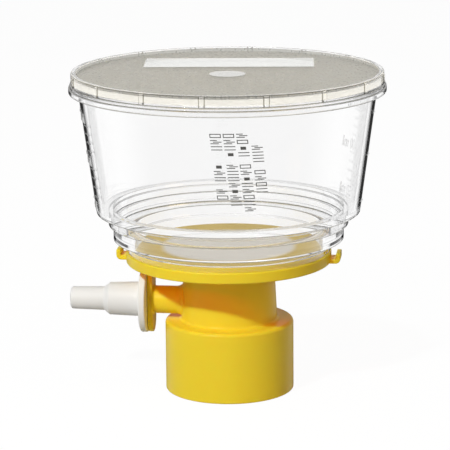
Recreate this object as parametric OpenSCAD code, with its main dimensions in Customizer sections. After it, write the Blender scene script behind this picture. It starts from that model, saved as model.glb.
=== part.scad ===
// Bottle-top vacuum filtration unit: clear graduated bowl with a loose lid, membrane on a ribbed
// support, one-piece yellow base with a screw collar for a 33 mm bottle neck, and a push-on hose
// connector on its side arm. Millimetres. The origin is the centre of the collar's bottom face,
// +Z runs up the bowl's axis and the side arm points along -X.

/* [Collar] */
// Outside diameter of the screw collar
collar_d = 35.3; // [34.6:0.1:40]
// Height of the screw collar
collar_h = 19.6; // [17:0.1:28]
// Diameter of the collar's bore, at the root of its thread (33 mm bottle neck)
collar_bore_d = 32.6; // [31.5:0.1:33]
// Thickness of the roof over the collar's bore
collar_roof = 2.2; // [1.4:0.1:4]
// Rounding of the collar's top edge
collar_round = 1; // [0.4:0.1:1.3]

/* [Neck] */
// Outside diameter of the neck under the flange
neck_top_d = 24.8; // [22:0.1:26]
// Outside diameter of the neck at the collar
neck_foot_d = 26.4; // [24:0.1:28]
// Length of the neck between collar and flange
neck_h = 16.5; // [14:0.1:24]
// Wall of the neck
neck_wall = 1.6; // [1:0.1:2.5]
// Outside diameter of the drip spout inside the neck
spout_d = 8.4; // [6:0.1:10]
// Wall of the drip spout
spout_wall = 1.4; // [1:0.1:2]
// Length of the drip spout below the flange
spout_h = 19.8; // [12:0.1:20]

/* [Flange and filter support] */
// Outside diameter of the flange
flange_d = 56.2; // [55.8:0.1:62]
// Thickness of the flange
flange_t = 3; // [2.4:0.1:5]
// Diameter of the raised plate that carries the membrane
support_d = 53.6; // [50:0.1:53.8]
// Height of the raised plate above the flange
support_h = 1.2; // [0.8:0.1:2]
// Diameter of the drained field of the plate
field_d = 48; // [40:0.5:49]
// Depth of the drain field
field_depth = 1.5; // [0.8:0.1:2]
// Number of ring ribs in the drain field
ring_ribs = 6; // [3:1:8]
// Width of the ring ribs
ring_rib_w = 0.9; // [0.6:0.1:1.4]
// Number of radial ribs in the drain field
spoke_ribs = 8; // [4:1:12]
// Width of the radial ribs
spoke_rib_w = 1.2; // [0.8:0.1:2]

/* [Hooks] */
// Width of each hook on the flange's rim
hook_w = 6; // [4:0.1:10]
// Thickness of a hook's foot and upright
hook_t = 1.2; // [0.9:0.1:1.8]
// Reach of a hook beyond the flange
hook_reach = 2.7; // [2.4:0.1:4]
// Height of a hook's upright
hook_h = 2.9; // [2:0.1:3.6]

/* [Side arm] */
// Height of the side arm's axis above the collar's bottom
arm_z = 24.4; // [23.8:0.1:28]
// Outside diameter of the side arm
arm_d = 7.7; // [6.6:0.1:8.2]
// Diameter of the air passage in the side arm
arm_bore_d = 4; // [2:0.1:4.4]
// Distance from the axis to the end of the arm's oblong plate
arm_reach = 22.3; // [20:0.1:30]
// Thickness of the oblong plate
plate_t = 1.4; // [1:0.1:2.5]
// Height of the oblong plate
plate_h = 18.2; // [14:0.1:20]
// Width of the oblong plate
plate_w = 7.8; // [7.7:0.1:12]
// Outside diameter of the nipple that the hose connector pushes on to
nipple_d = 6.2; // [5.4:0.1:7]
// Length of the nipple
nipple_l = 5; // [3:0.1:6]

/* [Hose connector] */
// Diameter of the connector's round disc
disc_d = 18.2; // [14:0.1:20]
// Thickness of the disc
disc_t = 1.9; // [1.2:0.1:3]
// Diameter of the connector's body at the disc
body_d = 9.6; // [9.3:0.1:11]
// Diameter of the body at its far end
body_end_d = 9; // [8.8:0.1:9.3]
// Length of the body from the plate
body_l = 10.8; // [10:0.1:14]
// Length of the cone between body and hose barrel
cone_l = 1.5; // [0.8:0.1:3]
// Diameter of the hose barrel at the cone
barrel_d = 6.6; // [5.6:0.1:8]
// Diameter of the hose barrel at its tip
barrel_tip_d = 6.2; // [5.2:0.1:6.6]
// Length of the hose barrel
barrel_l = 9.4; // [7:0.1:16]
// Diameter of the air passage in the barrel
barrel_bore_d = 3.4; // [2:0.1:4.2]
// Rounding of the barrel's tip
tip_round = 0.7; // [0.3:0.1:0.8]
// Depth of the wide bore behind the disc
chamber_l = 10.4; // [9.5:0.1:12]

/* [Bowl wall] */
// Outside diameter of the wall at the rim
bowl_rim_d = 81.4; // [78:0.1:90]
// Outside diameter of the wall at its foot
bowl_foot_d = 71.8; // [70:0.1:76]
// Height of the tapered wall
bowl_wall_h = 35.8; // [26:0.1:60]
// Thickness of the wall
bowl_wall = 1.75; // [1.2:0.05:2.2]
// Rounding of the wall's foot, outside
foot_round = 0.8; // [0.4:0.1:1.2]
// Rounding of the wall's foot, inside
foot_fillet = 0.6; // [0.4:0.1:2]
// Thickness of the floor inside the wall's foot
foot_floor_t = 1.6; // [1.2:0.1:2.2]
// Overhang of the rim's lip
lip_w = 0.55; // [0.3:0.05:0.8]
// Height of the rim's lip
lip_h = 1.5; // [1:0.1:2.2]

/* [Bowl steps, from the top] */
// Outside diameter of the upper step
step1_d = 65.4; // [64:0.1:68]
// Height of the upper step
step1_h = 3.5; // [2.5:0.1:6]
// Outside diameter of the middle step
step2_d = 62.9; // [60:0.1:64]
// Height of the middle step
step2_h = 4.1; // [2.5:0.1:7]
// Outside diameter of the lowest step, on the flange
step3_d = 55.8; // [55.4:0.1:56]
// Height of the lowest step
step3_h = 3.6; // [3:0.1:6]
// Thickness of the steps' upright walls
step_wall = 1.2; // [1:0.05:2]
// Thickness of the ledge inside the upper step
ledge1_t = 1.9; // [1.6:0.1:2.4]
// Thickness of the ledge inside the middle step
ledge2_t = 3.5; // [1.6:0.1:3.8]
// Diameter of the free membrane inside the lowest step
mouth_d = 51.6; // [49:0.1:52]

/* [Graduations] */
// Volume up to the lowest graduation, in millilitres
mark_first = 50; // [50:10:50]
// Volume up to the highest graduation, in millilitres
mark_last = 150; // [120:10:150]
// Volume between two graduations, in millilitres
mark_step = 10; // [10:10:50]
// Height of the lowest graduation above the wall's foot
mark_first_h = 2.9; // [2:0.1:6]
// Direction of the first scale about the axis
mark_angle = 202.5; // [180:0.5:240]
// Length of a short graduation
mark_l = 3.2; // [2:0.1:6]
// Thickness of a graduation, up the wall
mark_t = 0.35; // [0.2:0.05:0.6]
// Height of a graduation above the wall's surface
mark_relief = 0.25; // [0.1:0.05:0.4]

/* [Membrane] */
// Diameter of the membrane
membrane_d = 53.2; // [50:0.1:53.4]
// Thickness of the membrane
membrane_t = 0.25; // [0.15:0.05:0.5]

/* [Lid] */
// Thickness of the lid's top plate
lid_plate_t = 1.5; // [1:0.1:2.5]
// Outside diameter of the lid's upright ridge, and of the skirt below it
ridge_d = 84.4; // [84.2:0.1:85]
// Width of the ridge
ridge_w = 1.4; // [1:0.1:1.8]
// Height of the ridge above the plate
ridge_h = 1.1; // [0.6:0.1:2]
// Rounding of the ridge's outer edge
ridge_round = 0.5; // [0.2:0.1:0.8]
// Outside diameter of the wider band at the skirt's foot
skirt_d = 85.1; // [84.9:0.1:88]
// Height of the skirt below the plate's upper face
skirt_h = 4.4; // [3.4:0.1:8]
// Height of the band above the bead
band_h = 0.8; // [0.4:0.1:1.2]
// Overhang of the bead at the skirt's lower edge
bead_w = 0.35; // [0.2:0.05:0.6]
// Height of the bead
bead_h = 1.5; // [0.5:0.1:1.8]
// Number of grip ribs around the skirt
skirt_ribs = 16; // [8:1:24]
// Width of a grip rib
skirt_rib_w = 1.2; // [0.4:0.1:1.6]
// Height of a grip rib above the skirt
skirt_rib_h = 0.2; // [0.1:0.05:0.35]
// Turn of the lid on the bowl
lid_turn = 5; // [0:1:20]
// Diameter of the polished dimple in the middle of the lid
dimple_d = 10; // [6:0.5:14]
// Depth of the polished dimple and panel
dimple_depth = 0.2; // [0.1:0.05:0.4]
// Length of the polished panel on the lid
panel_l = 47; // [30:1:50]
// Width of the polished panel
panel_w = 15.5; // [8:0.5:16]
// Distance of the panel's middle from the lid's axis
panel_off = 19.5; // [16:0.5:22]

/* [Seals] */
// Outside diameter of the collar's ring gasket
gasket_d = 30.5; // [29:0.1:31]
// Thickness of the ring gasket
gasket_t = 1.5; // [1:0.1:2.5]
// Bore of the ring gasket
gasket_bore_d = 25; // [23.4:0.1:28]
// Length of the cotton plug
plug_l = 4.4; // [3:0.1:5]

/* [Clearances] */
// Side clearance of the bowl's lowest step around the raised plate
step_gap = 0.1; // [0.05:0.05:0.2]
// Side clearance between the lid's skirt and the bowl's lip
lid_gap = 0.15; // [0.1:0.05:0.4]
// Side clearance of the gasket and the cotton plug in their bores
seal_gap = 0.05; // [0.02:0.01:0.2]
// Side clearance of the connector on its nipple
nipple_gap = 0.05; // [0.02:0.01:0.1]

/* [Hidden] */
$fn = 144;
eps = 0.01;

// levels up the axis
roof_z = collar_h - collar_roof;         // underside of the collar's roof
gasket_z = roof_z - gasket_t;            // gasket's free face, at the end of the collar's bore
flange_z = collar_h + neck_h;            // flange's underside
seat_z = flange_z + flange_t;            // flange's upper face, under the bowl
support_z = seat_z + support_h;          // plate under the membrane
membrane_z = support_z + membrane_t;     // membrane's upper face, under the bowl's ledge
step3_z = seat_z + step3_h;              // underside of the middle step
step2_z = step3_z + step2_h;             // underside of the upper step
foot_z = step2_z + step1_h;              // foot of the tapered wall
rim_z = foot_z + bowl_wall_h;            // bowl's rim, under the lid's plate
plate_z = rim_z + lid_plate_t;           // upper face of the lid's plate
ridge_z = plate_z + ridge_h;             // top of the lid's ridge
skirt_z = plate_z - skirt_h;             // skirt's lower edge
band_z = skirt_z + bead_h + band_h;      // top of the band at the skirt's foot

// tapered wall
taper = (bowl_rim_d - bowl_foot_d) / 2 / bowl_wall_h;
function wall_r(z) = bowl_foot_d / 2 + taper * (z - foot_z);
function inner_r(z) = wall_r(z) - bowl_wall;
lip_r = wall_r(rim_z) + lip_w;

// height at which the tapered wall holds a volume in millilitres, from the frustum's volume
mark_z0 = foot_z + mark_first_h;
function mark_r(ml) = pow(pow(inner_r(mark_z0), 3) + 3 * taper * (ml - mark_first) * 1000 / PI, 1 / 3);
function mark_z(ml) = mark_z0 + (mark_r(ml) - inner_r(mark_z0)) / taper;

// side arm and hose connector, as distances from the axis
nipple_end = arm_reach + nipple_l;
chamber_r = nipple_d / 2 + nipple_gap;
chamber_end = arm_reach + chamber_l;
body_end = arm_reach + body_l;
cone_end = body_end + cone_l;
barrel_end = cone_end + barrel_l;
plug_x = chamber_end - plug_l;
neck_bore_top = neck_top_d / 2 - neck_wall;
neck_bore_foot = neck_foot_d / 2 - neck_wall;

// points of an arc about c, from angle a to angle b
function arc(c, r, a, b, n = 6) = [for (i = [0:n]) c + r * [cos(a + (b - a) * i / n), sin(a + (b - a) * i / n)]];

// a ring of rectangular section
module ring(r_in, r_out, z, h) {
    translate([0, 0, z]) rotate_extrude() translate([r_in, 0]) square([r_out - r_in, h]);
}

// an outline turned about the side arm's axis, its y measured outwards along -X
module turned_on_arm() {
    translate([0, 0, arm_z]) rotate([0, -90, 0]) rotate_extrude() children();
}

// one-piece yellow moulding: collar, neck, flange, filter support, spout, side arm and hooks
module base() {
    color([0.93, 0.80, 0.24]) difference() {
        union() {
            collar_and_neck();
            flange();
            arm();
            for (side = [0, 180]) rotate([0, 0, side]) hook();
        }
        neck_bore();
        drain_field();
        arm_bore();
    }
}

module collar_and_neck() {
    r = collar_d / 2;
    rotate_extrude() polygon(concat(
        [[0, 0], [r, 0]],
        arc([r - collar_round, collar_h - collar_round], collar_round, 0, 90),
        [[neck_foot_d / 2, collar_h], [neck_top_d / 2, flange_z + eps], [0, flange_z + eps]]));
}

module flange() {
    ring(0, flange_d / 2, flange_z, flange_t);
    ring(0, support_d / 2, seat_z - eps, support_h + eps);
}

// bore for the bottle's neck, the gasket's seat, then the hollow of the neck around the spout
module neck_bore() {
    difference() {
        union() {
            translate([0, 0, -1]) cylinder(d = collar_bore_d, h = gasket_z + 1);
            translate([0, 0, gasket_z - eps]) cylinder(r = gasket_d / 2 + seal_gap, h = gasket_t + eps);
            rotate_extrude() polygon([[0, roof_z - eps], [neck_bore_foot, roof_z - eps],
                [neck_bore_foot, collar_h], [neck_bore_top, flange_z], [0, flange_z]]);
        }
        ring(0, spout_d / 2, flange_z - spout_h, spout_h + eps);
    }
}

// field under the membrane, with ring ribs and spokes left standing, and the drain through the spout
module drain_field() {
    drain_r = spout_d / 2 - spout_wall;
    pitch = (field_d / 2 - drain_r) / (ring_ribs + 1);
    translate([0, 0, flange_z - spout_h - 1]) cylinder(r = drain_r, h = spout_h + flange_t + support_h + 2);
    difference() {
        ring(drain_r / 2, field_d / 2, support_z - field_depth, field_depth + 1);
        for (i = [1:ring_ribs])
            ring(drain_r + i * pitch - ring_rib_w / 2, drain_r + i * pitch + ring_rib_w / 2,
                support_z - field_depth - 1, field_depth + 1 - field_depth / 3);
        for (i = [0:spoke_ribs - 1]) rotate([0, 0, (i + 0.5) * 360 / spoke_ribs])
            translate([drain_r + 1, -spoke_rib_w / 2, support_z - field_depth - 1])
                cube([field_d / 2, spoke_rib_w, field_depth + 1]);
    }
}

// side arm with its oblong plate and nipple
module arm() {
    turned_on_arm() translate([0, neck_bore_top]) square([arm_d / 2, arm_reach - neck_bore_top]);
    turned_on_arm() polygon([[0, arm_reach - eps], [nipple_d / 2, arm_reach - eps],
        [nipple_d / 2, nipple_end - nipple_gap * 4], [nipple_d / 2 - nipple_gap * 4, nipple_end], [0, nipple_end]]);
    translate([-arm_reach, 0, arm_z]) rotate([0, 90, 0]) {
        straight = plate_h - plate_w;
        translate([-straight / 2, -plate_w / 2, 0]) cube([straight, plate_w, plate_t]);
        for (end = [-1, 1]) translate([end * straight / 2, 0, 0]) cylinder(d = plate_w, h = plate_t);
    }
}

module arm_bore() {
    turned_on_arm() translate([0, spout_d / 2 + 1]) square([arm_bore_d / 2, nipple_end - spout_d / 2]);
}

// J-shaped hook on the flange's rim
module hook() {
    root = flange_d / 2 - 1;
    tip = flange_d / 2 + hook_reach;
    translate([root, -hook_w / 2, flange_z]) cube([tip - hook_t / 2 - root, hook_w, hook_t]);
    translate([tip - hook_t, -hook_w / 2, flange_z + hook_t / 2]) cube([hook_t, hook_w, hook_h - hook_t]);
    for (z = [hook_t / 2, hook_h - hook_t / 2])
        translate([tip - hook_t / 2, hook_w / 2, flange_z + z]) rotate([90, 0, 0])
            cylinder(d = hook_t, h = hook_w, $fn = 32);
}

// elastic ring under the collar's roof, which the bottle's rim presses on
module neck_gasket() {
    color([0.86, 0.86, 0.84])
        ring(gasket_bore_d / 2, gasket_d / 2, gasket_z, gasket_t);
}

// filter membrane, a plain disc on the ribs
module membrane() {
    color([0.95, 0.94, 0.88]) translate([0, 0, support_z]) cylinder(d = membrane_d, h = membrane_t);
}

// clear bowl: tapered wall with a lip, and three steps down to the flange
module bowl() {
    color([0.90, 0.93, 0.94, 0.4]) {
        rotate_extrude() polygon(concat(bowl_outside(), bowl_inside()));
        for (scale = [0, 180], ml = [mark_first:mark_step:mark_last])
            graduation(mark_angle + scale, mark_z(ml), ml % 50 == 0 ? 1.6 * mark_l : mark_l);
    }
}

// outer outline, from the flange up to the rim
function bowl_outside() = concat(
    [[support_d / 2 + step_gap, seat_z], [step3_d / 2, seat_z], [step3_d / 2, step3_z],
     [step2_d / 2, step3_z], [step2_d / 2, step2_z], [step1_d / 2, step2_z], [step1_d / 2, foot_z]],
    arc([bowl_foot_d / 2 - foot_round, foot_z + foot_round], foot_round, -90, 0),
    [[wall_r(rim_z - lip_h), rim_z - lip_h], [lip_r, rim_z - lip_h], [lip_r, rim_z]]);

// inner outline, from the rim down over a floor and two ledges to the membrane
function bowl_inside() = let(
        floor_z = foot_z + foot_floor_t, fillet_z = floor_z + foot_fillet,
        ledge1_z = step2_z + ledge1_t, ledge2_z = step3_z + ledge2_t,
        r1 = step1_d / 2 - step_wall, r2 = step2_d / 2 - step_wall)
    concat([[inner_r(rim_z), rim_z]],
        arc([inner_r(fillet_z) - foot_fillet, fillet_z], foot_fillet, 0, -90),
        [[r1, floor_z], [r1, ledge1_z], [r2, ledge1_z], [r2, ledge2_z], [mouth_d / 2, ledge2_z],
         [mouth_d / 2, membrane_z], [support_d / 2 + step_gap, membrane_z]]);

// raised stroke along the wall, of a given length about the axis
module graduation(angle, z, l) {
    sweep = l / wall_r(z) * 180 / PI;
    rotate([0, 0, angle - sweep / 2]) rotate_extrude(angle = sweep)
        polygon([[wall_r(z) - mark_relief, z], [wall_r(z) + mark_relief, z],
            [wall_r(z) + mark_relief, z + mark_t], [wall_r(z) - mark_relief, z + mark_t]]);
}

// loose lid: plate with an upright ridge, skirt with a bead, ribs that centre it on the bowl's lip
module lid() {
    skirt_in = lip_r + lid_gap;
    ridge_r = ridge_d / 2;
    color([0.80, 0.81, 0.78, 0.6]) rotate([0, 0, lid_turn]) difference() {
        union() {
            rotate_extrude() polygon(concat(
                [[0, rim_z], [skirt_in, rim_z], [skirt_in, skirt_z], [skirt_d / 2 + bead_w, skirt_z],
                 [skirt_d / 2 + bead_w, skirt_z + bead_h], [skirt_d / 2, skirt_z + bead_h],
                 [skirt_d / 2, band_z], [ridge_r, band_z]],
                arc([ridge_r - ridge_round, ridge_z - ridge_round], ridge_round, 0, 90),
                [[ridge_r - ridge_w, ridge_z], [ridge_r - ridge_w, plate_z], [0, plate_z]]));
            for (i = [0:skirt_ribs - 1]) rotate([0, 0, -90 + i * 360 / skirt_ribs])
                translate([skirt_in + eps, -skirt_rib_w / 2, band_z - eps])
                    cube([ridge_r + skirt_rib_h - skirt_in - eps, skirt_rib_w,
                        ridge_z - ridge_round - band_z + eps]);
        }
        translate([0, 0, plate_z - dimple_depth]) cylinder(d = dimple_d, h = 1);
        translate([-panel_l / 2, panel_off - panel_w / 2, plate_z - dimple_depth]) cube([panel_l, panel_w, 1]);
    }
}

// push-on hose connector with its disc against the arm's plate
module hose_connector() {
    color([0.93, 0.93, 0.91]) difference() {
        union() {
            turned_on_arm() translate([0, arm_reach]) square([disc_d / 2, disc_t]);
            turned_on_arm() polygon(concat(
                [[0, arm_reach], [body_d / 2, arm_reach + disc_t / 2], [body_end_d / 2, body_end],
                 [barrel_d / 2, cone_end]],
                arc([barrel_tip_d / 2 - tip_round, barrel_end - tip_round], tip_round, 0, 90),
                [[0, barrel_end]]));
        }
        turned_on_arm() translate([0, arm_reach - 1]) square([chamber_r, chamber_l + 1]);
        turned_on_arm() translate([0, arm_reach]) square([barrel_bore_d / 2, barrel_end - arm_reach + 1]);
    }
}

// cotton plug in the connector's wide bore, against its shoulder
module cotton_plug() {
    color([0.97, 0.96, 0.93]) turned_on_arm()
        translate([0, plug_x]) square([chamber_r - seal_gap, plug_l]);
}

base();
neck_gasket();
membrane();
bowl();
lid();
hose_connector();
cotton_plug();
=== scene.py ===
# Bottle-top vacuum filtration unit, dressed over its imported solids: clear graduated bowl with a frosted
# lid, membrane, one-piece yellow base with a screw collar and a gasket, and a white hose connector with
# its cotton plug on the side arm.
import bpy
import numpy as np
from mathutils import Matrix, Vector


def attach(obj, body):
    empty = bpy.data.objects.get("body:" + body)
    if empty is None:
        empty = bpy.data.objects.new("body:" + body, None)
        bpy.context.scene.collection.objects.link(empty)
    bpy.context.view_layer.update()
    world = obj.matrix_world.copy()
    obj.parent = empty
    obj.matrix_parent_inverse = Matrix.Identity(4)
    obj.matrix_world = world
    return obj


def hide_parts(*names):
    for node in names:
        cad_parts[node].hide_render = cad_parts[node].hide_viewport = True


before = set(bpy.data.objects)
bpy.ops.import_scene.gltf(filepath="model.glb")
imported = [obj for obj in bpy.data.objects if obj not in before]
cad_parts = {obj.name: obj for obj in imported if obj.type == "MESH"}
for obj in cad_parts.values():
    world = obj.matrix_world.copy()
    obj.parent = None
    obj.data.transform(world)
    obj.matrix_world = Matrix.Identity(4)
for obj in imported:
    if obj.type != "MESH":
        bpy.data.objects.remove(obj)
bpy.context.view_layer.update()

# Sizes below are in millimetres. In their names D ends a diameter, W a width, H a height, L a length,
# T a thickness and Z a level above the collar's open end.
mm = 0.001
turn = 2 * np.pi
tiny = 0.00001  # points nearer than this count as one
white = (1, 1, 1, 1)


class Wire:
    # one output socket, with Python's operators standing for Math nodes
    def __init__(self, graph, socket):
        self.graph = graph
        self.socket = socket

    def math(self, operation, *values):
        return self.graph.node("ShaderNodeMath", {"operation": operation}, dict(enumerate(values)))

    def __add__(self, other):
        return self.math("ADD", self, other)

    def __radd__(self, other):
        return self.math("ADD", other, self)

    def __sub__(self, other):
        return self.math("SUBTRACT", self, other)

    def __rsub__(self, other):
        return self.math("SUBTRACT", other, self)

    def __mul__(self, other):
        return self.math("MULTIPLY", self, other)

    def __rmul__(self, other):
        return self.math("MULTIPLY", other, self)

    def __pow__(self, other):
        return self.math("POWER", self, other)

    def __lt__(self, other):
        return self.math("LESS_THAN", self, other)

    def __gt__(self, other):
        return self.math("GREATER_THAN", self, other)

    def size(self):
        return self.math("ABSOLUTE", self)

    def most(self, other):
        return self.math("MAXIMUM", self, other)

    def fold(self, width):
        # runs up to width and back down again, over and over
        return self.math("PINGPONG", self, width)

    def ramp(self, low, high, start=0.0, end=1.0):
        # smooth step: start below low, end above high
        return self.graph.node("ShaderNodeMapRange", {"interpolation_type": "SMOOTHSTEP"},
                               {0: self, 1: low, 2: high, 3: start, 4: end})


class Graph:
    # the node tree of a material or a world
    def __init__(self, owner):
        owner.use_nodes = True
        self.tree = owner.node_tree
        self.tree.nodes.clear()

    def node(self, kind, settings=None, sockets=None, out=0):
        made = self.tree.nodes.new(kind)
        for name, value in (settings or {}).items():
            setattr(made, name, value)
        for key, value in (sockets or {}).items():
            if isinstance(value, Wire):
                self.tree.links.new(value.socket, made.inputs[key])
            else:
                made.inputs[key].default_value = value
        return Wire(self, made.outputs[out]) if len(made.outputs) else made

    def split(self, spot):
        return [self.node("ShaderNodeSeparateXYZ", sockets={0: spot}, out=axis) for axis in range(3)]

    def place(self):
        # the three Object coordinates, and all three as one
        spot = self.node("ShaderNodeTexCoord", out=3)
        return self.split(spot) + [spot]

    def ray(self, sort):
        # 1 on rays of that sort and 0 on others
        return self.node("ShaderNodeLightPath", out=f"Is {sort} Ray")

    def noise(self, spot, scale, detail):
        return self.node("ShaderNodeTexNoise", sockets={"Vector": spot, "Scale": scale, "Detail": detail})

    def bump(self, height, strength, distance):
        sockets = {"Strength": strength, "Distance": distance, "Height": height}
        return self.node("ShaderNodeBump", sockets=sockets)

    def mixed(self, factor, first, second):
        # colour between first and second
        return self.node("ShaderNodeMix", {"data_type": "RGBA"}, {0: factor, 6: first, 7: second}, out=2)

    def blend(self, factor, first, second):
        # surface between first and second
        return self.node("ShaderNodeMixShader", sockets={0: factor, 1: first, 2: second})

    def seeThrough(self, surface, rays, colour):
        # on those rays the surface only tints what passes it
        return self.blend(rays, surface, self.node("ShaderNodeBsdfTransparent", sockets={"Color": colour}))

    def finish(self, surface):
        self.node("ShaderNodeOutputMaterial", sockets={"Surface": surface})


def hypotenuse(a, b):
    return (a * a + b * b) ** 0.5


def linear(red, green, blue):
    # screen colour 0 to 255 to the shader's own scale
    screen = np.array([red, green, blue]) / 255
    return tuple(np.where(screen <= 0.04045, screen / 12.92, ((screen + 0.055) / 1.055) ** 2.4)) + (1.0,)


def rounded(corners, steps=5, closed=True):
    # each corner (across, up, radius) becomes an arc: its centre lies on the corner's bisector,
    # radius / sin(half angle) away, and its points turn evenly from one side's touch to the other's
    table = np.array(corners, float)
    spot, radius = table[:, :2], table[:, 2]
    back = np.roll(spot, 1, 0) - spot
    ahead = np.roll(spot, -1, 0) - spot
    back /= np.linalg.norm(back, axis=1)[:, None]
    ahead /= np.linalg.norm(ahead, axis=1)[:, None]
    half = np.arccos(np.clip((back * ahead).sum(1), -1, 1)) / 2
    bisector = back + ahead
    bisector /= np.linalg.norm(bisector, axis=1)[:, None]
    centre = spot + bisector * (radius / np.sin(half))[:, None]
    reach = (radius / np.tan(half))[:, None]
    start = (spot + back * reach - centre)[:, None]
    end = (spot + ahead * reach - centre)[:, None]
    sweep = (np.pi - 2 * half)[:, None, None]
    share = np.linspace(0, 1, steps + 1)[None, :, None]
    arcs = (start * np.sin((1 - share) * sweep) + end * np.sin(share * sweep)) / np.sin(sweep)
    points = (centre[:, None] + arcs).reshape(-1, 2)
    fresh = np.linalg.norm(points - np.roll(points, 1, 0), axis=1) > tiny
    if not closed:
        fresh[0] = True
    return points[fresh]


def allRound(count):
    return np.arange(count) / count * turn


def turned(outline, angles):
    # outline (across, up) turned about the Z axis
    across, up = outline.T
    grid = np.empty((len(angles), len(outline), 3))
    grid[..., 0] = np.cos(angles)[:, None] * across
    grid[..., 1] = np.sin(angles)[:, None] * across
    grid[..., 2] = up
    return grid


def carried(section, centres, sideways, upwards, scales):
    # section (side, up) carried along the centres, scaled at each; a scale of 0 closes an end
    side, up = section.T
    return (centres[None] + side[:, None, None] * (sideways * scales[:, None])[None]
            + up[:, None, None] * (upwards * scales[:, None])[None])


def onArm(grid, armZ):
    # turns a grid made about Z so that its axis is the side arm's, with Z pointing out along -X
    x, y, z = np.moveaxis(grid, -1, 0)
    return np.stack([-z, y, x + armZ], -1)


def shell(grid, closed=True):
    # vertices, normals and faces of a grid that goes around in its first index and along the outline in
    # its second; a column that is one point becomes a pole. A normal is the cross product of the grid's
    # two central differences.
    count, length = grid.shape[:2]
    index = np.arange(count * length).reshape(count, length)
    around = np.roll(grid, -1, 0) - np.roll(grid, 1, 0)
    along = np.roll(grid, -1, 1) - np.roll(grid, 1, 1)
    if not closed:
        along[:, 0] = grid[:, 1] - grid[:, 0]
        along[:, -1] = grid[:, -1] - grid[:, -2]
    normals = np.cross(around, along)
    poles = np.ptp(grid, axis=0).max(1) < tiny
    for column in np.flatnonzero(poles):
        inner = 1 if column == 0 else length - 2
        normals[:, column] = normals[:, inner].sum(0)
        index[:, column] = index[0, column]
    normals /= np.maximum(np.linalg.norm(normals, axis=-1), 1e-12)[..., None]
    right = np.roll(index, -1, 0)
    triangles = [np.empty((0, 3), int)]
    if closed:
        quads = np.stack([index, right, np.roll(right, -1, 1), np.roll(index, -1, 1)], -1)
    else:
        quads = np.stack([index[:, :-1], right[:, :-1], right[:, 1:], index[:, 1:]], -1)
        quads = quads[:, ~(poles[:-1] | poles[1:])]
        if poles[0]:
            triangles.append(np.stack([index[:, 0], right[:, 1], index[:, 1]], -1))
        if poles[-1]:
            triangles.append(np.stack([index[:, -1], index[:, -2], right[:, -2]], -1))
    return grid.reshape(-1, 3), normals.reshape(-1, 3), quads.reshape(-1, 4), np.concatenate(triangles)


def outward(points, normals, quads, triangles):
    # a closed shell whose volume comes out negative is inside out, so it is turned round
    halves = np.concatenate([quads[:, [0, 1, 2]], quads[:, [0, 2, 3]], triangles])
    a, b, c = (points[halves[:, i]] for i in range(3))
    if np.einsum("ij,ij->", a, np.cross(b, c)) < 0:
        return points, -normals, quads[:, ::-1], triangles[:, ::-1]
    return points, normals, quads, triangles


def bearing(spot):
    # unit direction from the object to a spot given by azimuth and elevation in degrees
    azimuth, elevation = np.radians([spot["azimuth"], spot["elevation"]])
    return np.array([np.sin(azimuth) * np.cos(elevation), -np.cos(azimuth) * np.cos(elevation),
                     np.sin(elevation)])


def placed(name, data):
    # a new object, linked into the scene
    made = bpy.data.objects.new(name, data)
    bpy.context.scene.collection.objects.link(made)
    return made


def evaluated(made):
    # the object's mesh as its modifiers or its curve leave it
    bpy.context.view_layer.update()
    return bpy.data.meshes.new_from_object(made.evaluated_get(bpy.context.evaluated_depsgraph_get()))


def dress(made, material, slotName, *nodes):
    # gives an object its material; it rides on the body and stands for the nodes
    made.data.materials.clear()
    made.data.materials.append(material)
    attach(made, "root")
    if nodes:
        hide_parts(*nodes)
    return made


def piece(name, shells, material, slotName, *nodes):
    # one object from several closed shells, in millimetres
    points, normals, faces, start = [], [], [], 0
    for part in shells:
        spots, directions, quads, triangles = outward(*part)
        used, flat = np.unique(np.concatenate([quads.ravel(), triangles.ravel()]), return_inverse=True)
        points.append(spots[used])
        normals.append(directions[used])
        flat = flat + start
        faces += flat[:quads.size].reshape(-1, 4).tolist() + flat[quads.size:].reshape(-1, 3).tolist()
        start += len(used)
    mesh = bpy.data.meshes.new(name)
    mesh.from_pydata(np.concatenate(points) * mm, [], faces)
    mesh.shade_smooth()
    mesh.normals_split_custom_set_from_vertices(np.concatenate(normals))
    return dress(placed(name, mesh), material, slotName, *nodes)


def flatPiece(name, points, faces, material, slotName):
    # one object with flat faces, in millimetres, that stands for no node
    mesh = bpy.data.meshes.new(name)
    mesh.from_pydata(points * mm, [], faces)
    return dress(placed(name, mesh), material, slotName)


def fused(name, first, added, cutters, smoothTo, material, slotName, *nodes):
    # the first shell and the groups of added ones made one solid, less the cutters; corners below
    # smoothTo degrees are shaded smooth
    made = piece(name, [first], material, slotName, *nodes)
    for operation, groups in (("UNION", added), ("DIFFERENCE", cutters)):
        for group in groups:
            tool = piece("tool", group, material, slotName)
            step = made.modifiers.new("join", "BOOLEAN")
            step.operation = operation
            step.solver = "EXACT"
            step.object = tool
            joined = evaluated(made)
            made.modifiers.clear()
            made.data = joined
            bpy.data.objects.remove(tool)
    made.data.name = name
    if "custom_normal" in made.data.attributes:
        made.data.attributes.remove(made.data.attributes["custom_normal"])
    made.data.shade_smooth()
    made.data.set_sharp_from_angle(angle=np.radians(smoothTo))
    even = made.modifiers.new("even", "WEIGHTED_NORMAL")
    even.keep_sharp = True
    return made


cameraSpot = {
    "distance": 650.4,       # from the point it looks at
    "elevation": 12.89,      # degrees above the horizon
    "azimuth": 6.8,          # degrees round from the front
    "aim": (-0.99, 45.78),   # to the right of the axis and up
    "roll": 0.51,            # degrees
    "lens": 190.3,
    "nearest": 20,           # nothing closer is drawn
}


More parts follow.
